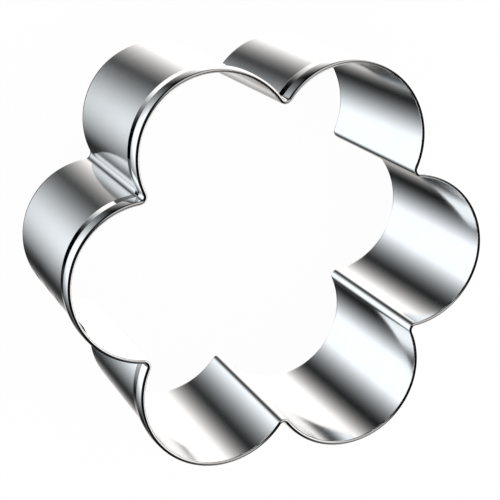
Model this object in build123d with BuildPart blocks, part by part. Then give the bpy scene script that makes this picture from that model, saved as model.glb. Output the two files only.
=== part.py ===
"""A flower cookie cutter: one stainless strip with a rolled rim, bent into six petals and spot welded.

It stands on its cutting edge at z = 0 with the rolled rim on top. Petals point along 0, 60, 120 degrees
and so on from +X. All sizes are in mm.
"""
from build123d import *
from math import atan2, cos, degrees, radians, sin, sqrt, tan
import os

os.makedirs("parts", exist_ok=True)

# The strip and the flower that it is bent to. Radii are those of the inner face of the wall.
height = 30.0
sheet = 0.25
petal_count = 6
petal_ring = 21.1  # the flower's axis to the centre of each petal
petal_radius = 11.9
notch_radius = 1.2

# The rolled rim: the top of the strip is folded outwards and down, and pressed until its raw edge meets the wall
roll_depth = 4.5
fold_radius = 0.32  # outside of the fold at the top
crown_tilt = 7.0  # how far the upper face leans where it leaves the fold, in degrees
ridge_drop = 2.14  # from the top down to the ridge, where the rim is thickest
ridge_radius = 0.5
foot_tilt = 5.7  # how far the lower face leans in towards the wall
raw_round = 0.08  # the outer corner of the raw edge
edge_lean = 0.03  # how far each side of the cutting edge leans in
edge_rise = 0.4  # where the lean starts

# The seam: a plain tongue at one end of the strip lies inside the other end
seam_petal = 3
seam_edge = 37.0  # angle of the outer end, from the middle of its petal towards the next one
tongue_end = 19.0
step_end = 43.5  # where the tongue has stepped back out to the line of the wall
seam_slit = 0.06
lap_gap = 0.05
relief = 0.15  # slit under the rim, above the tongue

# The spot welds that hold the seam
weld_angle = 28.5
weld_radius = 1.0
weld_dimple = 0.04
weld_count = 4
weld_first = 4.0
weld_pitch = 6.5

# Where the petal arcs end and the notch bends begin
half_step = 180 / petal_count
centre_gap = petal_radius + notch_radius
notch_ring = petal_ring * cos(radians(half_step)) + sqrt(
    centre_gap**2 - (petal_ring * sin(radians(half_step))) ** 2
)
notch_x = notch_ring * cos(radians(half_step))
notch_y = notch_ring * sin(radians(half_step))
petal_end = degrees(atan2(notch_y, notch_x - petal_ring))
notch_turn = 2 * (petal_end - half_step)

# The rim's section, with x out from the inner face and y up from the cutting edge
fold_x = fold_radius
fold_y = height - fold_radius
crown_y = height - ridge_drop
crown_radius = fold_radius + (fold_y - crown_y) / sin(radians(crown_tilt))
crown_x = fold_x - (crown_radius - fold_radius) * cos(radians(crown_tilt))
ridge_x = crown_x + crown_radius - ridge_radius
wall_top = height - roll_depth - relief

seam_turn = seam_petal * 2 * half_step
seam_x = petal_ring * cos(radians(seam_turn))
seam_y = petal_ring * sin(radians(seam_turn))
seam_axis = Axis((seam_x, seam_y, 0), (0, 0, 1))
tongue_in = petal_radius - lap_gap - sheet
tongue_out = petal_radius - lap_gap
slit_turn = degrees(seam_slit / petal_radius)


def polar(x, y, radius, angle):
    """A point at a radius and an angle in degrees from a centre."""
    return (x + radius * cos(radians(angle)), y + radius * sin(radians(angle)))


def upright(x, y, angle):
    """An upright plane at a point: its x runs out at the angle, its y runs up."""
    out = (cos(radians(angle)), sin(radians(angle)), 0)
    return Plane(origin=(x, y, 0), x_dir=out, z_dir=(out[1], -out[0], 0))


def on_seam(radius, angle):
    """The point on the seam's petal at a radius and an angle from the petal's middle."""
    return polar(seam_x, seam_y, radius, seam_turn + angle)


def seam_plane(angle):
    """The upright plane through the seam petal's own axis."""
    return upright(seam_x, seam_y, seam_turn + angle)


def rim_arc(x, y, radius, start, end):
    """An arc of the rim's section, from one angle to another."""
    middle = (start + end) / 2
    ThreePointArc(polar(x, y, radius, start), polar(x, y, radius, middle), polar(x, y, radius, end))


# The lower face runs from the ridge to the corner of the raw edge
face_x, face_y = polar(ridge_x, crown_y, ridge_radius, -foot_tilt)
face_drop = face_y - raw_round - (height - roll_depth)
corner_x = face_x - face_drop * tan(radians(foot_tilt)) - raw_round * cos(radians(foot_tilt))
corner_y = face_y - face_drop + raw_round * sin(radians(foot_tilt))
raw_out = polar(corner_x, corner_y, raw_round, -foot_tilt - 90)
raw_in = polar(*raw_out, sheet - raw_round, 180 - foot_tilt)


def strip_section(plane):
    """The strip cut across: the wall, the fold, the crowned face, the ridge and the face down to the raw edge."""
    with BuildSketch(plane) as section:
        with BuildLine():
            Polyline(
                (sheet, fold_y),
                (sheet, edge_rise),
                (sheet - edge_lean, 0),
                (edge_lean, 0),
                (0, edge_rise),
                (0, fold_y),
            )
            rim_arc(fold_x, fold_y, fold_radius, 180, crown_tilt)
            rim_arc(crown_x, crown_y, crown_radius, crown_tilt, 0)
            rim_arc(ridge_x, crown_y, ridge_radius, 0, -foot_tilt)
            Line((face_x, face_y), polar(corner_x, corner_y, raw_round, -foot_tilt))
            rim_arc(corner_x, corner_y, raw_round, -foot_tilt, -foot_tilt - 90)
            Line(raw_out, raw_in)
            Line(raw_in, polar(ridge_x, crown_y, ridge_radius - sheet, -foot_tilt))
            rim_arc(ridge_x, crown_y, ridge_radius - sheet, -foot_tilt, 0)
            rim_arc(crown_x, crown_y, crown_radius - sheet, 0, crown_tilt)
            rim_arc(fold_x, fold_y, fold_radius - sheet, crown_tilt, 180)
        make_face()
    return section.sketch


def box_section(plane, low_x, high_x, low_y, high_y):
    """A rectangle on an upright plane."""
    with BuildSketch(plane) as section:
        with Locations(((low_x + high_x) / 2, (low_y + high_y) / 2)):
            Rectangle(high_x - low_x, high_y - low_y)
    return section.sketch


def weld_discs(radius):
    """The discs of the spot welds, on the plane that faces the seam at a radius."""
    turn = radians(seam_turn + weld_angle)
    facing = Plane(
        origin=(*on_seam(radius, weld_angle), 0),
        x_dir=(-sin(turn), cos(turn), 0),
        z_dir=(cos(turn), sin(turn), 0),
    )
    with BuildSketch(facing) as section:
        with Locations(*[(0, weld_first + n * weld_pitch) for n in range(weld_count)]):
            Circle(weld_radius)
    return section.sketch


# One petal and the notch after it, as a sixth of the closed flower
with BuildPart() as petal_sixth:
    petal_start = polar(petal_ring, 0, petal_radius, -petal_end)
    petal_cut = strip_section(upright(*petal_start, -petal_end))
    revolve(petal_cut, axis=Axis((petal_ring, 0, 0), (0, 0, 1)), revolution_arc=2 * petal_end)
    notch_start = polar(petal_ring, 0, petal_radius, petal_end)
    notch_cut = strip_section(upright(*notch_start, petal_end))
    revolve(notch_cut, axis=Axis((notch_x, notch_y, 0), (0, 0, -1)), revolution_arc=notch_turn)

# The strip, bent round six times, with its seam opened and its tongue tucked inside
with BuildPart() as cutter_band:
    with PolarLocations(0, petal_count):
        add(petal_sixth.part)

    # The slit where the outer end of the strip meets the rim of the other end
    slit_low, slit_high = petal_radius - sheet, petal_radius + 4 * sheet
    slit_cut = box_section(seam_plane(seam_edge), slit_low, slit_high, -sheet, height + sheet)
    revolve(slit_cut, axis=seam_axis, revolution_arc=slit_turn, mode=Mode.SUBTRACT)

    # The wall beside the slit makes way for the step of the tongue
    step_high = petal_radius + 2 * sheet
    step_cut = box_section(seam_plane(seam_edge), slit_low, step_high, -sheet, wall_top + relief / 2)
    revolve(step_cut, axis=seam_axis, revolution_arc=step_end - seam_edge, mode=Mode.SUBTRACT)

    # The step, where the tongue leaves the line of the wall and moves inside it
    along_tongue = (-sin(radians(seam_turn + seam_edge)), cos(radians(seam_turn + seam_edge)))
    along_wall = (-sin(radians(seam_turn + step_end)), cos(radians(seam_turn + step_end)))
    with BuildSketch() as step_plan:
        with BuildLine():
            Spline(
                on_seam(tongue_in, seam_edge),
                on_seam(petal_radius, step_end),
                tangents=(along_tongue, along_wall),
            )
            Spline(
                on_seam(tongue_out, seam_edge),
                on_seam(petal_radius + sheet, step_end),
                tangents=(along_tongue, along_wall),
            )
            Line(on_seam(tongue_in, seam_edge), on_seam(tongue_out, seam_edge))
            Line(on_seam(petal_radius, step_end), on_seam(petal_radius + sheet, step_end))
        make_face()
    extrude(step_plan.sketch, amount=wall_top)

    # The tongue itself, along the inside of the other end
    tongue_cut = box_section(seam_plane(tongue_end), tongue_in, tongue_out, 0, wall_top)
    revolve(tongue_cut, axis=seam_axis, revolution_arc=seam_edge - tongue_end)

    # Where the spot welds have joined the two layers
    extrude(weld_discs(tongue_in - sheet), amount=4 * sheet, mode=Mode.SUBTRACT)

cutter_band.part.label = "cutter_band"
export_step(cutter_band.part, "parts/cutter_band.step")

# The weld nuggets, each a disc through both layers with the shallow marks of the electrodes
nugget_start = tongue_in + weld_dimple
nugget_end = petal_radius + sheet - weld_dimple
with BuildPart() as seam_spot_welds:
    extrude(weld_discs(nugget_start), amount=nugget_end - nugget_start)

seam_spot_welds.part.label = "seam_spot_welds"
export_step(seam_spot_welds.part, "parts/seam_spot_welds.step")

size = cutter_band.part.bounding_box().size
print(f"across petals {size.X:.2f} mm, across the other way {size.Y:.2f} mm, tall {size.Z:.2f} mm")
print(f"solids in the band: {len(cutter_band.part.solids())}")
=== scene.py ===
# %% [markdown]
# # A flower cookie cutter in polished steel
# The real cutter is one strip of thin stainless steel. Its upper edge is folded outwards and down and pressed
# flat, its lower edge is ground to a fine bevel to cut, and the strip is bent into six round petals. Its two
# ends lap and are spot welded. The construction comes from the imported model, which is loaded first and never
# moved. This lesson gives it its looks: a finely modelled strip that mirrors cleanly, welds, finishes, and a
# small white studio.

# %% Load the construction
from math import atan2, cos, degrees, pi, radians, sin, sqrt, tan

import bmesh
import bpy
from mathutils import Matrix, Vector


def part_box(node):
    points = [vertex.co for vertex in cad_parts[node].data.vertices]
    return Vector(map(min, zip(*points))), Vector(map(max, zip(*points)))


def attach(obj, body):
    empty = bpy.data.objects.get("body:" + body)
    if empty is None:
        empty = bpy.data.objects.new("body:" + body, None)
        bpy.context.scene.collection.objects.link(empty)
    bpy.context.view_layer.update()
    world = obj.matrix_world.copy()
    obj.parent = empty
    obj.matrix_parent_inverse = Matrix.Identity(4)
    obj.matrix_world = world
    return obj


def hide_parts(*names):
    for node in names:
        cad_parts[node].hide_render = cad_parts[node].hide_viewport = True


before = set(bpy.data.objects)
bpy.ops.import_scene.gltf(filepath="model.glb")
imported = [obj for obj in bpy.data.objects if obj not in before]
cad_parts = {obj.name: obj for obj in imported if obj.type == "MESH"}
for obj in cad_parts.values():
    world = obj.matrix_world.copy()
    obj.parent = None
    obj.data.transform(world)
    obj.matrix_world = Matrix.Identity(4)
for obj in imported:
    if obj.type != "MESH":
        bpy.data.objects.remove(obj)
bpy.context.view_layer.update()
print("CAD nodes:", sorted(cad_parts))

# %% [markdown]
# ## The camera
# The cutter was seen from high above, a little off its axis, and the picture was turned, so the rim points
# to the lower right. Three plain numbers say where the camera stands round the middle of the cutter, one says
# how far the picture is turned, and the long lens keeps the petals nearly the same size.

# %% Stand the camera
mm = 0.001
view_azimuth = radians(139.90)
view_elevation = radians(62.94)
view_roll = radians(126.84)
view_distance = 237.2 * mm
view_target = Vector((0.14, -1.59, 14.97)) * mm
sensor_width = 36.0
lens_length = 106.9

camera_data = bpy.data.cameras.new("camera")
camera_data.sensor_width = sensor_width
camera_data.lens = lens_length
camera_data.clip_start = 0.01
camera_data.clip_end = 20.0
camera = bpy.data.objects.new("camera", camera_data)
towards_camera = Vector((
    cos(view_azimuth) * cos(view_elevation),
    sin(view_azimuth) * cos(view_elevation),
    sin(view_elevation),
))
upright_view = towards_camera.to_track_quat("Z", "Y").to_matrix().to_4x4()
camera_place = Matrix.Translation(view_target + view_distance * towards_camera)
camera.matrix_world = camera_place @ upright_view @ Matrix.Rotation(view_roll, 4, "Z")
bpy.context.scene.collection.objects.link(camera)
bpy.context.scene.camera = camera
bpy.context.scene.view_settings.view_transform = "Standard"
print("camera at", [round(1000 * c, 1) for c in camera.location], "mm")

# %% [markdown]
# ## The sizes of the strip
# A mirror finish shows every facet, so the strip is modelled again here from the same sizes as the
# construction: the radii are those of the inner face of the wall, and the notches between petals are tight
# bends the other way.

# %% Name the sizes
band_low, band_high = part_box("cutter_band")
height = band_high.z - band_low.z
sheet = 0.25 * mm
petal_count = 6
petal_ring = 21.1 * mm
petal_radius = 11.9 * mm
notch_radius = 1.2 * mm
half_step = pi / petal_count

centre_gap = petal_radius + notch_radius
notch_ring = petal_ring * cos(half_step) + sqrt(centre_gap**2 - (petal_ring * sin(half_step)) ** 2)
notch_centre = Vector((notch_ring * cos(half_step), notch_ring * sin(half_step), 0))
petal_end = atan2(notch_centre.y, notch_centre.x - petal_ring)
notch_turn = 2 * (petal_end - half_step)
print(f"each petal turns {degrees(2 * petal_end):.1f} degrees and each notch {degrees(notch_turn):.1f} back")

# %% [markdown]
# ## The section of the strip
# Cut across, the strip is a plain wall that thins at its cutting edge, with a fold at the top, a slightly
# crowned face down to a soft ridge, and a flat face that leans in from the ridge until the raw edge meets the
# wall. The outline is drawn by moving one vertex: along a line with an extrude and round a corner with a
# spin, so each stretch is said the way the metal runs. Where a bend meets a flat, a short step beside it
# keeps the flat's reflections straight.

# %% Sizes of the rolled rim
roll_depth = 4.5 * mm
fold_radius = 0.32 * mm
crown_tilt = radians(7.0)
ridge_drop = 2.14 * mm
ridge_radius = 0.5 * mm
foot_tilt = radians(5.7)
raw_round = 0.08 * mm
edge_lean = 0.03 * mm
edge_rise = 0.4 * mm
relief = 0.15 * mm


def polar(x, z, radius, angle):
    """A point of the section at a radius and an angle from a centre."""
    return x + radius * cos(angle), z + radius * sin(angle)


fold_x = fold_radius
fold_z = height - fold_radius
crown_z = height - ridge_drop
crown_radius = fold_radius + (fold_z - crown_z) / sin(crown_tilt)
crown_x = fold_x - (crown_radius - fold_radius) * cos(crown_tilt)
ridge_x = crown_x + crown_radius - ridge_radius
face_x, face_z = polar(ridge_x, crown_z, ridge_radius, -foot_tilt)
face_drop = face_z - raw_round - (height - roll_depth)
corner_x = face_x - face_drop * tan(foot_tilt) - raw_round * cos(foot_tilt)
corner_z = face_z - face_drop + raw_round * sin(foot_tilt)
wall_top = height - roll_depth - relief
rim_foot = wall_top + relief / 2
rim_reach = crown_x + crown_radius
print(f"the rim stands {1000 * rim_reach:.2f} mm out from the inner face")

# %% A vertex that draws the outline
class Outline:
    """The outline of the strip's section, with x out from the wall's inner face and z up."""

    def __init__(self, mesh, x, z):
        self.mesh = mesh
        self.across = mesh.verts.layers.float["across"]
        self.run = 0.0
        self.verts = [mesh.verts.new((x, 0, z))]

    def keep(self, vert):
        self.run += (vert.co - self.verts[-1].co).length
        vert[self.across] = self.run
        self.verts.append(vert)

    def line(self, x, z, steps=1):
        """A straight stretch to a point, in even steps."""
        move = (Vector((x, 0, z)) - self.verts[-1].co) / steps
        for _ in range(steps):
            grown = bmesh.ops.extrude_vert_indiv(self.mesh, verts=[self.verts[-1]])
            bmesh.ops.translate(self.mesh, verts=grown["verts"], vec=move)
            self.keep(grown["verts"][0])

    def arc(self, x, z, turn, steps):
        """A bend round a centre. A positive turn goes from +x towards +z."""
        for _ in range(steps):
            grown = bmesh.ops.spin(
                self.mesh, geom=[self.verts[-1]], cent=(x, 0, z), axis=(0, -1, 0), angle=turn / steps, steps=1
            )
            self.keep(verts_of(grown["geom_last"])[0])


def verts_of(parts):
    return [part for part in parts if isinstance(part, bmesh.types.BMVert)]


def edges_of(parts):
    return [part for part in parts if isinstance(part, bmesh.types.BMEdge)]


# %% How finely each stretch is divided
beside = 0.04 * mm
wall_rows = 8
face_rows = 2
corner_steps = 3
fold_steps, crown_steps, ridge_steps = 20, 8, 3
inner_fold_steps, inner_crown_steps, inner_ridge_steps = 6, 4, 2

# %% Draw the outline of the whole strip
def new_strip(place):
    """A new mesh that holds the outline, stood where a stretch of the strip starts."""
    mesh = bmesh.new()
    mesh.verts.layers.float.new("across")
    mesh.verts.layers.float.new("along")
    outline = Outline(mesh, edge_lean, 0)
    outline.line(0, edge_rise)
    outline.line(0, edge_rise + beside)
    outline.line(0, wall_top, wall_rows)
    outline.line(0, rim_foot)
    outline.line(0, fold_z - beside, face_rows)
    outline.line(0, fold_z)
    outline.fold_from = outline.run
    outline.arc(fold_x, fold_z, crown_tilt - pi, fold_steps)
    outline.arc(crown_x, crown_z, -crown_tilt, crown_steps)
    outline.arc(ridge_x, crown_z, -foot_tilt, ridge_steps)
    outline.line(*polar(face_x, face_z, beside, -foot_tilt - pi / 2))
    foot = polar(corner_x, corner_z, raw_round, -foot_tilt)
    outline.line(*polar(*foot, beside, pi / 2 - foot_tilt), face_rows)
    outline.line(*foot)
    outline.arc(corner_x, corner_z, -pi / 2, corner_steps)
    raw_edge = outline.verts[-1].co
    outline.raw_from = outline.run
    outline.line(*polar(raw_edge.x, raw_edge.z, sheet - raw_round, pi - foot_tilt))
    outline.line(*polar(ridge_x, crown_z, ridge_radius - sheet, -foot_tilt), face_rows)
    outline.arc(ridge_x, crown_z, foot_tilt, inner_ridge_steps)
    outline.arc(crown_x, crown_z, crown_tilt, inner_crown_steps)
    outline.arc(fold_x, fold_z, pi - crown_tilt, inner_fold_steps)
    outline.line(sheet, rim_foot, face_rows)
    outline.line(sheet, wall_top)
    outline.line(sheet, edge_rise + beside, wall_rows)
    outline.line(sheet, edge_rise)
    outline.line(sheet - edge_lean, 0)
    mesh.edges.new((outline.verts[-1], outline.verts[0]))
    bmesh.ops.transform(mesh, matrix=place, verts=mesh.verts)
    return mesh, outline


# %% [markdown]
# ## Bending the strip into the flower
# The outline is spun round a petal's axis and then back round the axis of the notch after it. Five such
# sixths are copies of each other. The sixth petal has the seam, so it is bent in two stretches, one on each
# side of the seam. Each ring of vertices keeps how far along the strip it is, so that a finish can follow
# every bend.

# %% How a stretch is bent
petal_grain = radians(1.25)
notch_grain = radians(3.0)
up = (0, 0, 1)


def stand(angle):
    """The matrix that stands the outline on the first petal, at an angle from the petal's middle."""
    centre = Matrix.Translation((petal_ring, 0, 0))
    return centre @ Matrix.Rotation(angle, 4, "Z") @ Matrix.Translation((petal_radius, 0, 0))


def bend(mesh, ring, centre, turn, grain, radius, along=0.0):
    """Spins a ring round an upright axis, marking how far along the strip each new ring is."""
    layer = mesh.verts.layers.float["along"]
    steps = max(1, round(abs(turn) / grain))
    for _ in range(steps):
        spun = bmesh.ops.spin(mesh, geom=ring, cent=centre, axis=up, angle=turn / steps, steps=1)
        ring = spun["geom_last"]
        along += radius * abs(turn) / steps
        for vert in verts_of(ring):
            vert[layer] = along
    return ring, along


def bend_petal(mesh, ring, turn, along=0.0):
    return bend(mesh, ring, (petal_ring, 0, 0), turn, petal_grain, petal_radius, along)


def bend_notch(mesh, ring, along):
    return bend(mesh, ring, notch_centre, -notch_turn, notch_grain, notch_radius, along)


# %% Bend one petal and the notch after it
sixth, outline = new_strip(stand(-petal_end))
outline_round = outline.run + sheet - 2 * edge_lean
ring, along = bend_petal(sixth, list(sixth.verts) + list(sixth.edges), 2 * petal_end)
ring, sixth_along = bend_notch(sixth, ring, along)
print(f"the outline has {len(outline.verts)} points and is {1000 * outline_round:.1f} mm round")
print(f"a sixth of the strip is {1000 * sixth_along:.1f} mm long and has {len(sixth.faces)} faces")

# %% [markdown]
# ## The lap of the seam
# At the seam the strip's two ends overlap. One end stops short in a clean edge. At the other end the strip
# divides: its rim runs on to meet the first end at a fine slit, and its wall steps inwards by one sheet and
# carries on as a plain tongue behind the first end. Two edges across the outline divide it, and each part is
# bent on its own.

# %% Sizes of the seam
seam_petal = 3
seam_edge = radians(37.0)
step_end = radians(43.5)
tongue_end = radians(19.0)
seam_slit = 0.06 * mm
lap_gap = 0.05 * mm
step_steps = 12
slit_turn = seam_slit / petal_radius
print(f"the ends lap by {1000 * petal_radius * (seam_edge - tongue_end):.1f} mm")

# %% Bend the stretch after the seam
lap, outline = new_strip(stand(step_end))
first_edges = list(lap.edges)
first_ring = outline.verts + first_edges
ring, along = bend_petal(lap, first_ring, petal_end - step_end)
ring, lap_along = bend_notch(lap, ring, along)


def outline_vert(x, z):
    """The vertex of the lap's first ring that stands for a point of the outline."""
    point = stand(step_end) @ Vector((x, 0, z))
    return min(outline.verts, key=lambda vert: (vert.co - point).length)


def ring_between(low, high, *crossings):
    """The part of the first ring between two heights, closed by the edges that cross it."""
    slack = 0.001 * mm
    kept = [e for e in first_edges if all(low - slack < v.co.z < high + slack for v in e.verts)]
    kept += crossings
    return list({vert for edge in kept for vert in edge.verts}) + kept


# %% Divide it into rim and tongue
tongue_top = lap.edges.new((outline_vert(0, wall_top), outline_vert(sheet, wall_top)))
rim_bottom = lap.edges.new((outline_vert(0, rim_foot), outline_vert(sheet, rim_foot)))
bmesh.ops.contextual_create(lap, geom=edges_of(ring_between(wall_top, rim_foot, tongue_top, rim_bottom)))
rim_ring = ring_between(rim_foot, height, rim_bottom)
tongue_ring = ring_between(0, wall_top, tongue_top)
print(f"{len(edges_of(rim_ring))} edges go to the rim and {len(edges_of(tongue_ring))} to the tongue")

# %% Run the rim back to the slit
ring, _ = bend_petal(lap, rim_ring, seam_edge + slit_turn - step_end)
bmesh.ops.contextual_create(lap, geom=edges_of(ring))

# %% Step the tongue inwards and run it on
step_inset = lap_gap + sheet
ring, angle, before = tongue_ring, step_end, 0.0
for number in range(1, step_steps + 1):
    share = number / step_steps
    inset = step_inset * share * share * (3 - 2 * share)
    turn = (seam_edge - step_end) / step_steps
    ring = bmesh.ops.spin(lap, geom=ring, cent=(petal_ring, 0, 0), axis=up, angle=turn, steps=1)["geom_last"]
    angle += turn
    inwards = Matrix.Rotation(angle, 3, "Z") @ Vector((before - inset, 0, 0))
    bmesh.ops.translate(lap, verts=verts_of(ring), vec=inwards)
    before = inset
ring, _ = bend_petal(lap, ring, tongue_end - seam_edge)
bmesh.ops.contextual_create(lap, geom=edges_of(ring))
print(f"the stretch with the tongue has {len(lap.faces)} faces")

# %% Bend the stretch before the seam
plain_end, outline = new_strip(stand(-petal_end))
ring, _ = bend_petal(plain_end, list(plain_end.verts) + list(plain_end.edges), petal_end + seam_edge)
bmesh.ops.contextual_create(plain_end, geom=edges_of(ring))
print(f"the stretch with the plain end has {len(plain_end.faces)} faces")

# %% [markdown]
# ## Joining the strip
# The stretches are turned to their places round the flower and joined where their last rings meet. A closed
# shell has exactly two faces on every edge, and its volume should be that of the real strip.

# %% Join all stretches into one closed strip
merge_gap = 1e-4 * mm
strip = bmesh.new()


def join(stretch, petal, along_from):
    """Adds a copy of a stretch, turned to its petal, with its lengths counted from a start."""
    data = bpy.data.meshes.new("stretch")
    stretch.to_mesh(data)
    known = len(strip.verts)
    strip.from_mesh(data)
    bpy.data.meshes.remove(data)
    strip.verts.ensure_lookup_table()
    added = strip.verts[known:]
    layer = strip.verts.layers.float["along"]
    for vert in added:
        vert[layer] += along_from
    turned = Matrix.Rotation(2 * half_step * petal, 3, "Z")
    bmesh.ops.rotate(strip, verts=added, cent=(0, 0, 0), matrix=turned)


join(lap, seam_petal, 0.0)
for number in range(petal_count - 1):
    join(sixth, seam_petal + 1 + number, lap_along + number * sixth_along)
join(plain_end, seam_petal, lap_along + (petal_count - 1) * sixth_along)
for stretch in (sixth, lap, plain_end):
    stretch.free()
bmesh.ops.remove_doubles(strip, verts=strip.verts, dist=merge_gap)
bmesh.ops.recalc_face_normals(strip, faces=strip.faces)
open_edges = sum(1 for edge in strip.edges if len(edge.link_faces) != 2)
print(f"edges that aren't closed: {open_edges}, volume {strip.calc_volume() * 1e9:.0f} mm3")

# %% [markdown]
# ## A map that follows the strip
# Rolling lines run along the strip and round every petal, which no flat projection can follow. The two
# lengths that the vertices kept become a map in metres: one way along the strip, the other way round its
# section.

# %% Lay the map and finish the mesh
sharp_angle = radians(30)


def lay_map(mesh):
    """Writes the kept lengths to a map in metres, closing it where the outline starts again."""
    across = mesh.verts.layers.float["across"]
    along = mesh.verts.layers.float["along"]
    layer = mesh.loops.layers.uv.new("strip")
    for face in mesh.faces:
        highest = max(loop.vert[across] for loop in face.loops)
        for loop in face.loops:
            v = loop.vert[across]
            if highest - v > outline_round / 2:
                v += outline_round
            loop[layer].uv = (loop.vert[along], v)


def finish_mesh(name, mesh):
    """Turns a bmesh into an object at the origin, smooth except at its sharp edges."""
    for face in mesh.faces:
        face.smooth = True
    data = bpy.data.meshes.new(name)
    mesh.to_mesh(data)
    mesh.free()
    data.set_sharp_from_angle(angle=sharp_angle)
    piece = bpy.data.objects.new(name, data)
    bpy.context.scene.collection.objects.link(piece)
    return piece


lay_map(strip)
band = finish_mesh("cutter_band_strip", strip)
print(f"the strip has {len(band.data.polygons)} faces")

# %% [markdown]
# ## Holes for the spot welds
# Each weld melted through both layers, so the strip has a round hole there that the weld metal fills. A
# Boolean modifier cuts the four holes, and the result is read back as a plain mesh.

# %% Sizes of the welds
weld_angle = radians(28.5)
weld_radius = 1.0 * mm
weld_count = 4
weld_first = 4.0 * mm
weld_pitch = 6.5 * mm
weld_dimple = 0.04 * mm
weld_middle = (petal_radius - lap_gap - sheet + petal_radius + sheet) / 2
round_steps = 64


def weld_place(number):
    """The matrix that stands a weld, made along z, through the lap."""
    middle = Vector((weld_middle - petal_radius, 0, weld_first + number * weld_pitch))
    petal = Matrix.Rotation(2 * half_step * seam_petal, 4, "Z")
    return petal @ stand(weld_angle) @ Matrix.Translation(middle) @ Matrix.Rotation(pi / 2, 4, "Y")


# %% Cut the holes
punch_mesh = bmesh.new()
for number in range(weld_count):
    bmesh.ops.create_cone(
        punch_mesh, cap_ends=True, segments=round_steps, radius1=weld_radius, radius2=weld_radius,
        depth=4 * sheet, matrix=weld_place(number),
    )
punch = finish_mesh("weld_punch", punch_mesh)
cut = band.modifiers.new("weld holes", "BOOLEAN")
cut.operation = "DIFFERENCE"
cut.solver = "EXACT"
cut.object = punch
depsgraph = bpy.context.evaluated_depsgraph_get()
cut_data = bpy.data.meshes.new_from_object(band.evaluated_get(depsgraph))
band.modifiers.clear()
band.data = cut_data
band.data.set_sharp_from_angle(angle=sharp_angle)
bpy.data.objects.remove(punch)
band.data.calc_loop_triangles()
print(f"the strip with its holes has {len(band.data.loop_triangles)} triangles")

# %% Put the strip in the frame
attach(band, "root")
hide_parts("cutter_band")

# %% [markdown]
# ## The spot welds
# A spot weld shows as a round mark a little below the sheet: a dished middle where the electrode pressed, a
# soft raised ring round it, and the edge where it meets the sheet. One half profile is spun full circle and
# mirrored.

# %% Sizes of a weld's face
half_depth = (2 * sheet + lap_gap) / 2 - weld_dimple
dish_radius = 0.62 * weld_radius
dish_depth = 0.03 * mm
dish_rim_depth = dish_depth * 0.8
print(f"each weld is {2000 * half_depth:.2f} mm thick at its ring")

# %% Model the welds
weld_mesh = bmesh.new()
for number in range(weld_count):
    one = bmesh.new()
    profile = [
        one.verts.new((0, 0, half_depth - dish_depth)),
        one.verts.new((dish_radius, 0, half_depth - dish_rim_depth)),
        one.verts.new((dish_radius + 2 * dish_depth, 0, half_depth)),
        one.verts.new((weld_radius - dish_depth, 0, half_depth)),
        one.verts.new((weld_radius, 0, half_depth - dish_depth)),
        one.verts.new((weld_radius, 0, 0)),
    ]
    strokes = [one.edges.new(pair) for pair in zip(profile, profile[1:])]
    bmesh.ops.spin(
        one, geom=profile + strokes, cent=(0, 0, 0), axis=up, angle=2 * pi, steps=round_steps, use_merge=True
    )
    everything = list(one.verts) + list(one.edges) + list(one.faces)
    bmesh.ops.mirror(one, geom=everything, axis="Z", merge_dist=merge_gap)
    bmesh.ops.remove_doubles(one, verts=one.verts, dist=merge_gap)
    bmesh.ops.recalc_face_normals(one, faces=one.faces)
    bmesh.ops.transform(one, matrix=weld_place(number), verts=one.verts)
    part = bpy.data.meshes.new("one_weld")
    one.to_mesh(part)
    one.free()
    weld_mesh.from_mesh(part)
    bpy.data.meshes.remove(part)
welds = finish_mesh("seam_spot_weld_marks", weld_mesh)
print(f"{weld_count} welds with {len(welds.data.polygons)} faces")

# %% Put the welds in the frame
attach(welds, "root")
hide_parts("seam_spot_welds")

# %% [markdown]
# ## Helpers for finishes
# A finish is a graph of shader nodes. These helpers add a node, link it and set its plain values, so that
# each finish below reads as a list of what is done to the surface.

# %% Node helpers
def plug(tree, socket, value):
    """Gives an input its value, or links it where the value is another node's output."""
    if isinstance(value, bpy.types.NodeSocket):
        tree.links.new(value, socket)
    else:
        socket.default_value = value


def add(tree, kind, inputs=None, **settings):
    """Adds a node. Inputs are values or sockets, by name or number."""
    node = tree.nodes.new(kind)
    for name, value in settings.items():
        setattr(node, name, value)
    for name, value in (inputs or {}).items():
        plug(tree, node.inputs[name], value)
    return node


def compute(tree, operation, first, second=0.0, third=0.0):
    """One step of arithmetic."""
    return add(tree, "ShaderNodeMath", {0: first, 1: second, 2: third}, operation=operation).outputs[0]


def rescale(tree, value, low, high, to_low=0.0, to_high=1.0, smooth=False):
    """Maps a value from one range to another, held at both ends."""
    node = add(
        tree, "ShaderNodeMapRange",
        {"Value": value, "From Min": low, "From Max": high, "To Min": to_low, "To Max": to_high},
        interpolation_type="SMOOTHSTEP" if smooth else "LINEAR",
    )
    return node.outputs["Result"]


def blend(tree, share, first, second):
    """Mixes two colours."""
    node = add(tree, "ShaderNodeMix", data_type="RGBA")
    for name, value in (("Factor_Float", share), ("A_Color", first), ("B_Color", second)):
        plug(tree, next(s for s in node.inputs if s.identifier == name), value)
    return next(s for s in node.outputs if s.identifier == "Result_Color")


# %% Helpers for effects and finishes
NUMBER, COLOUR, VECTOR = "NodeSocketFloat", "NodeSocketColor", "NodeSocketVector"


def group(name, inputs, outputs):
    """A shader node group with named sockets: returns its tree, its input node and its output node."""
    tree = bpy.data.node_groups.new(name, "ShaderNodeTree")
    for label, kind, value in inputs:
        socket = tree.interface.new_socket(label, in_out="INPUT", socket_type=kind)
        if value is not None:
            socket.default_value = value
    for label, kind in outputs:
        tree.interface.new_socket(label, in_out="OUTPUT", socket_type=kind)
    return tree, tree.nodes.new("NodeGroupInput"), tree.nodes.new("NodeGroupOutput")


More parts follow.
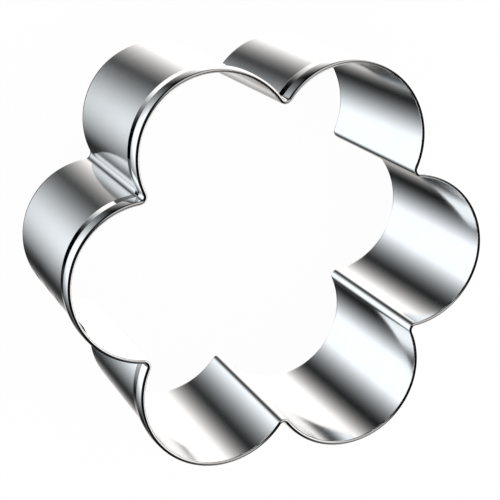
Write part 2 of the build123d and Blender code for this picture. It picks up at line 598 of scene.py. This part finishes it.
def use(tree, effect, **inputs):
    """Places a node group with its own values."""
    node = tree.nodes.new("ShaderNodeGroup")
    node.node_tree = effect
    for name, value in inputs.items():
        plug(tree, node.inputs[name.replace("_", " ").capitalize()], value)
    return node


def finish(name, colour):
    """A new metal finish: returns the material, its tree and its shader."""
    material = bpy.data.materials.new(name)
    material.use_nodes = True
    material.diffuse_color = (*colour, 1)
    tree = material.node_tree
    shader = tree.nodes["Principled BSDF"]
    shader.inputs["Metallic"].default_value = 1.0
    return material, tree, shader


# %% [markdown]
# ## Effects on the steel
# Strip steel leaves the rolls with very fine lines along its length, which polishing leaves faintly behind.
# Handling adds sparse hairlines at shallow angles. Both lie on the map that follows every bend. Where the
# strip was slit, its edge is bare and dull, and its colour is darkened further with painted shade: the dark
# contact shadow that the foot of the wall mirrors, and the shade where the rim's raw edge meets the wall. The
# rollers that folded the rim have burnished it, and round each weld the heat has left rings of colour. Each
# effect is a group of its own.

# %% Rolling lines
def stretched_noise(tree, vector, along, across, detail):
    """Noise with its own scale each way of the strip's map, in features per metre."""
    scale = (along, across, 1.0)
    scaled = add(tree, "ShaderNodeVectorMath", {0: vector, 1: scale}, operation="MULTIPLY")
    noise = add(tree, "ShaderNodeTexNoise", {"Vector": scaled.outputs[0], "Scale": 1.0, "Detail": detail})
    return noise.outputs[0]


noise_range = (0.3, 0.7)
cloud_range = (0.35, 0.65)
rolling_lines, given, made = group(
    "rolling_lines", [("Map", VECTOR, None)], [("Lines", NUMBER), ("Clouds", NUMBER)]
)
fine = stretched_noise(rolling_lines, given.outputs["Map"], along=30.0, across=9000.0, detail=4.0)
broad = stretched_noise(rolling_lines, given.outputs["Map"], along=60.0, across=300.0, detail=3.0)
rolling_lines.links.new(rescale(rolling_lines, fine, *noise_range), made.inputs["Lines"])
rolling_lines.links.new(rescale(rolling_lines, broad, *cloud_range, smooth=True), made.inputs["Clouds"])
print(f"rolling lines in {len(rolling_lines.nodes)} nodes")

# %% Hairline scratches
scratch_sets = ((0.22, 0.69), (-0.5, 0.72), (1.3, 0.75))
scratch_edge = 0.05
hairlines, given, made = group(
    "hairlines", [("Map", VECTOR, None), ("Amount", NUMBER, 1.0)], [("Level", NUMBER)]
)
scratched = None
for turn, rarity in scratch_sets:
    turned = add(
        hairlines, "ShaderNodeVectorRotate", {"Vector": given.outputs["Map"], "Angle": turn},
        rotation_type="Z_AXIS",
    )
    streaks = stretched_noise(hairlines, turned.outputs[0], along=140.0, across=7000.0, detail=1.0)
    way = rescale(hairlines, streaks, rarity, rarity + scratch_edge)
    scratched = way if scratched is None else compute(hairlines, "MAXIMUM", scratched, way)
scratched = compute(hairlines, "MULTIPLY", scratched, given.outputs["Amount"])
hairlines.links.new(scratched, made.inputs["Level"])
print(f"hairlines in {len(hairlines.nodes)} nodes")

# %% Bare edges, darkened with painted shade
edge_shade_full_height = 0.01 * mm
edge_shade_gone_height = 0.03 * mm
raw_middle = outline.raw_from + (sheet - raw_round) / 2
# Both edges are dull bare steel, and their dark colour is also painted shade: at the cutting edge it stands
# for the contact shadow that the wall's foot mirrors, and at the raw edge for the shade where the rim meets
# the wall.
bare_and_shaded_edges, given, made = group(
    "bare_and_shaded_edges", [("Position", VECTOR, None), ("Map", VECTOR, None)], [("Share", NUMBER)]
)
point = add(bare_and_shaded_edges, "ShaderNodeSeparateXYZ", {0: given.outputs["Position"]})
cutting = rescale(bare_and_shaded_edges, point.outputs[2], edge_shade_full_height, edge_shade_gone_height, 1.0, 0.0)
across = add(bare_and_shaded_edges, "ShaderNodeSeparateXYZ", {0: given.outputs["Map"]}).outputs[1]
from_raw = compute(bare_and_shaded_edges, "ABSOLUTE", compute(bare_and_shaded_edges, "SUBTRACT", across, raw_middle))
raw = rescale(bare_and_shaded_edges, from_raw, 0.5 * sheet, 0.6 * sheet, 1.0, 0.0)
bare_and_shaded_edges.links.new(compute(bare_and_shaded_edges, "MAXIMUM", cutting, raw), made.inputs["Share"])
print(f"bare edges in {len(bare_and_shaded_edges.nodes)} nodes")

# %% Burnished rim and ground edge
burnish_fade = 0.2 * mm
burnished, given, made = group(
    "burnished", [("Position", VECTOR, None), ("Map", VECTOR, None)], [("Share", NUMBER)]
)
across = add(burnished, "ShaderNodeSeparateXYZ", {0: given.outputs["Map"]}).outputs[1]
past_wall = rescale(burnished, across, outline.fold_from - burnish_fade, outline.fold_from)
before_raw = rescale(burnished, across, outline.raw_from, outline.raw_from + raw_round, 1.0, 0.0)
point = add(burnished, "ShaderNodeSeparateXYZ", {0: given.outputs["Position"]})
ground = rescale(burnished, point.outputs[2], edge_rise, edge_rise + 2 * beside, 1.0, 0.0)
rolled = compute(burnished, "MULTIPLY", past_wall, before_raw)
burnished.links.new(compute(burnished, "MAXIMUM", rolled, ground), made.inputs["Share"])
print(f"burnishing in {len(burnished.nodes)} nodes")

# %% How far a point is from the nearest weld
far_away = 9.0
clear_of_last = 0.5 * mm
weld_spot = weld_place(0).translation
weld_distance, given, made = group("weld_distance", [("Position", VECTOR, None)], [("Radii", NUMBER)])
beside_weld = add(
    weld_distance, "ShaderNodeVectorMath",
    {0: given.outputs["Position"], 1: (weld_spot.x, weld_spot.y, 0.0)}, operation="SUBTRACT",
)
parts = add(weld_distance, "ShaderNodeSeparateXYZ", {0: beside_weld.outputs[0]})
low_end = weld_first - weld_pitch / 2
row = compute(weld_distance, "WRAP", parts.outputs[2], low_end + weld_pitch, low_end)
rise = compute(weld_distance, "SUBTRACT", row, weld_first)
offset = add(
    weld_distance, "ShaderNodeCombineXYZ", {"X": parts.outputs[0], "Y": parts.outputs[1], "Z": rise}
)
gap = add(weld_distance, "ShaderNodeVectorMath", {0: offset.outputs[0]}, operation="LENGTH")
radii = compute(weld_distance, "DIVIDE", gap.outputs["Value"], weld_radius)
above_last = rescale(weld_distance, parts.outputs[2], wall_top - clear_of_last, wall_top, 0.0, far_away)
weld_distance.links.new(compute(weld_distance, "ADD", radii, above_last), made.inputs["Radii"])
print(f"the distance from a weld in {len(weld_distance.nodes)} nodes")

# %% Heat colours round a weld
tint_reach = 2.5
tint_fades = (1.1, 1.8)
tint_rings = (
    (0.36, (0.42, 0.47, 0.58, 1)),
    (0.46, (0.50, 0.38, 0.42, 1)),
    (0.54, (0.66, 0.50, 0.32, 1)),
    (0.62, (0.84, 0.74, 0.52, 1)),
    (0.72, (0.88, 0.84, 0.74, 1)),
)
heat_tint, given, made = group(
    "heat_tint",
    [("Radii", NUMBER, far_away), ("Strength", NUMBER, 0.6)],
    [("Colour", COLOUR), ("Share", NUMBER)],
)
rings = add(
    heat_tint, "ShaderNodeValToRGB", {"Fac": rescale(heat_tint, given.outputs["Radii"], 0.0, tint_reach)}
)
stops = rings.color_ramp.elements
stops[0].position, stops[0].color = tint_rings[0]
stops[1].position, stops[1].color = tint_rings[-1]
for position, colour in tint_rings[1:-1]:
    stops.new(position).color = colour
heat_tint.links.new(rings.outputs["Color"], made.inputs["Colour"])
fading = rescale(heat_tint, given.outputs["Radii"], *tint_fades, 1.0, 0.0, smooth=True)
fading = compute(heat_tint, "MULTIPLY", fading, given.outputs["Strength"])
heat_tint.links.new(fading, made.inputs["Share"])
print(f"heat colours in {len(heat_tint.nodes)} nodes")

# %% [markdown]
# ## The finishes
# The strip is a bright metal with little roughness, and each effect adds its own small share to it. A slight
# roughness of the wall softens what it mirrors, while the burnished rim mirrors sharply. The weld metal is
# satin and grainy.

# %% Colours of the strip, and what each effect adds to its roughness
steel_colour = (0.90, 0.905, 0.91)
cloudy_colour = (0.888, 0.893, 0.898)
# The bare edges' dark grey is partly their dull bare steel and partly painted shade.
bare_and_shaded_colour = (0.30, 0.30, 0.31)
polish_rough = 0.13
cloud_rough = 0.015
burnish_rough = -0.09
scratch_rough = 0.08
heat_rough = 0.1
bare_rough = 0.3
scratch_height = -0.3
line_bump = 0.04
bump_depth = 0.01 * mm

# %% Polished steel
def polished_steel():
    """Mirror-polished strip: bright, barely rough, with every effect above laid over it faintly."""
    material, tree, shader = finish("polished_steel", steel_colour)
    strip_map = add(tree, "ShaderNodeUVMap", uv_map="strip").outputs[0]
    position = add(tree, "ShaderNodeTexCoord").outputs["Object"]
    lines = use(tree, rolling_lines, map=strip_map)
    scratches = use(tree, hairlines, map=strip_map, amount=1.0).outputs["Level"]
    bare_and_shaded = use(tree, bare_and_shaded_edges, position=position, map=strip_map).outputs["Share"]
    radii = use(tree, weld_distance, position=position).outputs["Radii"]
    heat = use(tree, heat_tint, radii=radii, strength=0.6)

    colour = blend(tree, lines.outputs["Clouds"], (*steel_colour, 1), (*cloudy_colour, 1))
    colour = blend(tree, heat.outputs["Share"], colour, heat.outputs["Colour"])
    # Painted shade: the cutting edge and the rim's raw edge are blended towards dark grey.
    colour = blend(tree, bare_and_shaded, colour, (*bare_and_shaded_colour, 1))
    tree.links.new(colour, shader.inputs["Base Color"])

    rough = compute(tree, "MULTIPLY_ADD", lines.outputs["Clouds"], cloud_rough, polish_rough)
    smooth = use(tree, burnished, position=position, map=strip_map).outputs["Share"]
    rough = compute(tree, "MULTIPLY_ADD", smooth, burnish_rough, rough)
    rough = compute(tree, "MULTIPLY_ADD", scratches, scratch_rough, rough)
    rough = compute(tree, "MULTIPLY_ADD", heat.outputs["Share"], heat_rough, rough)
    rough = compute(tree, "MULTIPLY_ADD", bare_and_shaded, bare_rough, rough)
    tree.links.new(rough, shader.inputs["Roughness"])

    bumps = compute(tree, "MULTIPLY_ADD", scratches, scratch_height, lines.outputs["Lines"])
    bump = add(tree, "ShaderNodeBump", {"Height": bumps, "Strength": line_bump, "Distance": bump_depth})
    tree.links.new(bump.outputs[0], shader.inputs["Normal"])
    return material


band.data.materials.clear()
band.data.materials.append(polished_steel())
print("the strip wears", band.data.materials[0].name)

# %% Colours of the weld metal, its grain and its rings
weld_colour = (0.62, 0.62, 0.61)
scorched_colour = (0.46, 0.40, 0.34)
weld_rough = (0.28, 0.48)
weld_grain = 9000.0
ring_density = 60.0
ring_height = 0.25
border_grain = 0.2
border_range = (0.7, 1.05)
weld_bump = 0.3

# %% Weld steel
def weld_steel():
    """Bare weld metal: satin and grainy, with the electrode's faint turned rings and a scorched border."""
    material, tree, shader = finish("weld_steel", weld_colour)
    position = add(tree, "ShaderNodeTexCoord").outputs["Object"]
    radii = use(tree, weld_distance, position=position).outputs["Radii"]
    noise = add(tree, "ShaderNodeTexNoise", {"Vector": position, "Scale": weld_grain, "Detail": 3.0})
    grain = noise.outputs[0]
    rings = compute(tree, "SINE", compute(tree, "MULTIPLY", radii, ring_density))
    ragged = compute(tree, "MULTIPLY_ADD", grain, border_grain, radii)
    border = rescale(tree, ragged, *border_range, smooth=True)
    colour = blend(tree, border, (*weld_colour, 1), (*scorched_colour, 1))
    tree.links.new(colour, shader.inputs["Base Color"])
    tree.links.new(rescale(tree, grain, *noise_range, *weld_rough), shader.inputs["Roughness"])
    bumps = compute(tree, "MULTIPLY_ADD", rings, ring_height, grain)
    bump = add(tree, "ShaderNodeBump", {"Height": bumps, "Strength": weld_bump, "Distance": bump_depth})
    tree.links.new(bump.outputs[0], shader.inputs["Normal"])
    return material


welds.data.materials.append(weld_steel())
print("the welds wear", welds.data.materials[0].name)

# %% [markdown]
# ## The studio
# Polished steel is a mirror, so its look is the look of the room. The photograph was lit from below and all
# round: a cool soft light low on one side, a larger warm one on the other, and between them a dark strip that
# draws a soft dark band up each wall. The rest is seen only in the rolled rim. Straight down it is dark but
# for one round light, which draws the white wedge and the black line under the rim. Above, two soft lights
# stand away from the camera, whose own side is black, which draws the black line along the fold. Two dark
# flags deepen the bands on the left, and a dim light behind gives the back some shape. The world paints all
# this by direction, for mirrored rays only: the camera itself sees white, and matt surfaces are lit evenly.

# %% How bright and how tinted the room is
room_white = 1.2
room_ambient = 1.0
display_power = 2.2
dark_strip = 0.06
black = 0.08
floor_black = 0.03
white = (1, 1, 1, 1)
cool_tint = (0.925, 0.97, 1.0, 1)
warm_tint = (1.0, 0.975, 0.955, 1)

# %% Where the room changes, as heights and sideways shares of a direction
strip_below, black_above = -0.45, -0.05
straight_down = 0.957
down_edge = 0.013
warm_from, cool_from = 0.05, -0.2

# %% The effect of one soft light
world = bpy.data.worlds.new("studio")
bpy.context.scene.world = world
world.use_nodes = True
room = world.node_tree
room.nodes.clear()


def towards(azimuth, elevation):
    """The direction at two angles in degrees."""
    level = cos(radians(elevation))
    return (level * cos(radians(azimuth)), level * sin(radians(azimuth)), sin(radians(elevation)))


def soft_light_group():
    """How bright a soft round light is: full within one angle of its middle, and 0 beyond another."""
    tree, given, made = group(
        "soft_light",
        [("Direction", VECTOR, None), ("Towards", VECTOR, None), ("Full within", NUMBER, 0.3),
         ("Gone beyond", NUMBER, 0.8), ("Strength", NUMBER, 1.0)],
        [("Level", NUMBER)],
    )
    near = add(
        tree, "ShaderNodeVectorMath", {0: given.outputs["Direction"], 1: given.outputs["Towards"]},
        operation="DOT_PRODUCT",
    )
    angle = compute(tree, "ARCCOSINE", near.outputs["Value"])
    full, gone, strength = (given.outputs[name] for name in ("Full within", "Gone beyond", "Strength"))
    tree.links.new(rescale(tree, angle, full, gone, strength, 0.0), made.inputs["Level"])
    return tree


soft_light = soft_light_group()


def light(azimuth, elevation, full, gone, strength=1.0):
    """One soft light of the room, with its angles in degrees."""
    return use(
        room, soft_light, direction=direction, towards=towards(azimuth, elevation),
        full_within=radians(full), gone_beyond=radians(gone), strength=strength,
    ).outputs["Level"]


def brightest(*levels):
    """The highest of several levels."""
    level = levels[0]
    for other in levels[1:]:
        level = compute(room, "MAXIMUM", level, other)
    return level


# %% The lights of the room
direction = add(room, "ShaderNodeTexCoord").outputs["Generated"]
parts = add(room, "ShaderNodeSeparateXYZ", {0: direction})
cool_light = light(azimuth=177.4, elevation=-49.0, full=16.7, gone=46.8)
warm_light = light(azimuth=1.5, elevation=-18.0, full=60.6, gone=84.1)
high_light = light(azimuth=55.3, elevation=43.5, full=38.3, gone=52.1, strength=0.69)
side_light = light(azimuth=304.4, elevation=21.2, full=6.2, gone=38.2, strength=0.77)
back_light = light(azimuth=226.0, elevation=-18.0, full=4.0, gone=24.0, strength=0.6)
unlit = rescale(room, parts.outputs[2], strip_below, black_above, dark_strip, black, smooth=True)
around = brightest(cool_light, warm_light, high_light, side_light, back_light, unlit)

# %% What is straight down, and the two flags
floor_light = light(azimuth=10.7, elevation=-84.5, full=11.3, gone=15.8)
under = brightest(floor_light, floor_black)
down = rescale(room, parts.outputs[2], -straight_down, -straight_down - down_edge, smooth=True)
display = compute(room, "MULTIPLY_ADD", compute(room, "SUBTRACT", under, around), down, around)
left_flag = light(azimuth=310.0, elevation=-60.0, full=2.0, gone=9.0)
low_flag = light(azimuth=259.0, elevation=-72.0, full=2.6, gone=9.2, strength=0.57)
for flag in (left_flag, low_flag):
    display = compute(room, "MULTIPLY", display, compute(room, "SUBTRACT", 1.0, flag))

# %% The room that the steel mirrors
level = compute(room, "MULTIPLY", compute(room, "POWER", display, display_power), room_white)
coolness = rescale(room, parts.outputs[0], warm_from, cool_from, smooth=True)
tint = blend(room, coolness, warm_tint, cool_tint)
mirrored = add(room, "ShaderNodeBackground", {"Color": tint, "Strength": level})
seen = add(room, "ShaderNodeBackground", {"Color": white, "Strength": 1.0})
lighting = add(room, "ShaderNodeBackground", {"Color": white, "Strength": room_ambient})
ray = add(room, "ShaderNodeLightPath")
unseen = add(
    room, "ShaderNodeMixShader",
    {0: ray.outputs["Is Glossy Ray"], 1: lighting.outputs[0], 2: mirrored.outputs[0]},
)
whole = add(
    room, "ShaderNodeMixShader",
    {0: ray.outputs["Is Camera Ray"], 1: unseen.outputs[0], 2: seen.outputs[0]},
)
add(room, "ShaderNodeOutputWorld", {0: whole.outputs[0]})
print(f"the room in {len(room.nodes)} nodes")

# %% A soft lamp
lamp_data = bpy.data.lights.new("softbox", "SUN")
lamp_data.angle = radians(40)
lamp_data.energy = 0.25
lamp = bpy.data.objects.new("softbox", lamp_data)
lamp.rotation_euler = (radians(25), radians(-20), 0)
lamp.visible_glossy = False
bpy.context.scene.collection.objects.link(lamp)

# %% [markdown]
# ## The floor
# The cutter stands on white paper that keeps its soft shadow. The camera sees it nearly as bright as the
# room, so that the picture has no horizon, and the steel mirrors the room straight through it.

# %% Lay the floor
floor_radius = 3.0
floor_colour = (0.95, 0.95, 0.95, 1)
floor_lift = 0.97
floor_mesh = bmesh.new()
bmesh.ops.create_circle(floor_mesh, cap_ends=True, segments=round_steps, radius=floor_radius)
floor = finish_mesh("floor", floor_mesh)
floor.visible_glossy = False

# %% White paper
floor_paint = bpy.data.materials.new("white_floor")
floor_paint.use_nodes = True
tree = floor_paint.node_tree
tree.nodes.clear()
paper = add(tree, "ShaderNodeBsdfDiffuse", {"Color": floor_colour})
glow = add(tree, "ShaderNodeEmission", {"Color": white, "Strength": 1.0})
ray = add(tree, "ShaderNodeLightPath")
lift = compute(tree, "MULTIPLY", ray.outputs["Is Camera Ray"], floor_lift)
surface = add(tree, "ShaderNodeMixShader", {0: lift, 1: paper.outputs[0], 2: glow.outputs[0]})
add(tree, "ShaderNodeOutputMaterial", {0: surface.outputs[0]})
floor.data.materials.append(floor_paint)
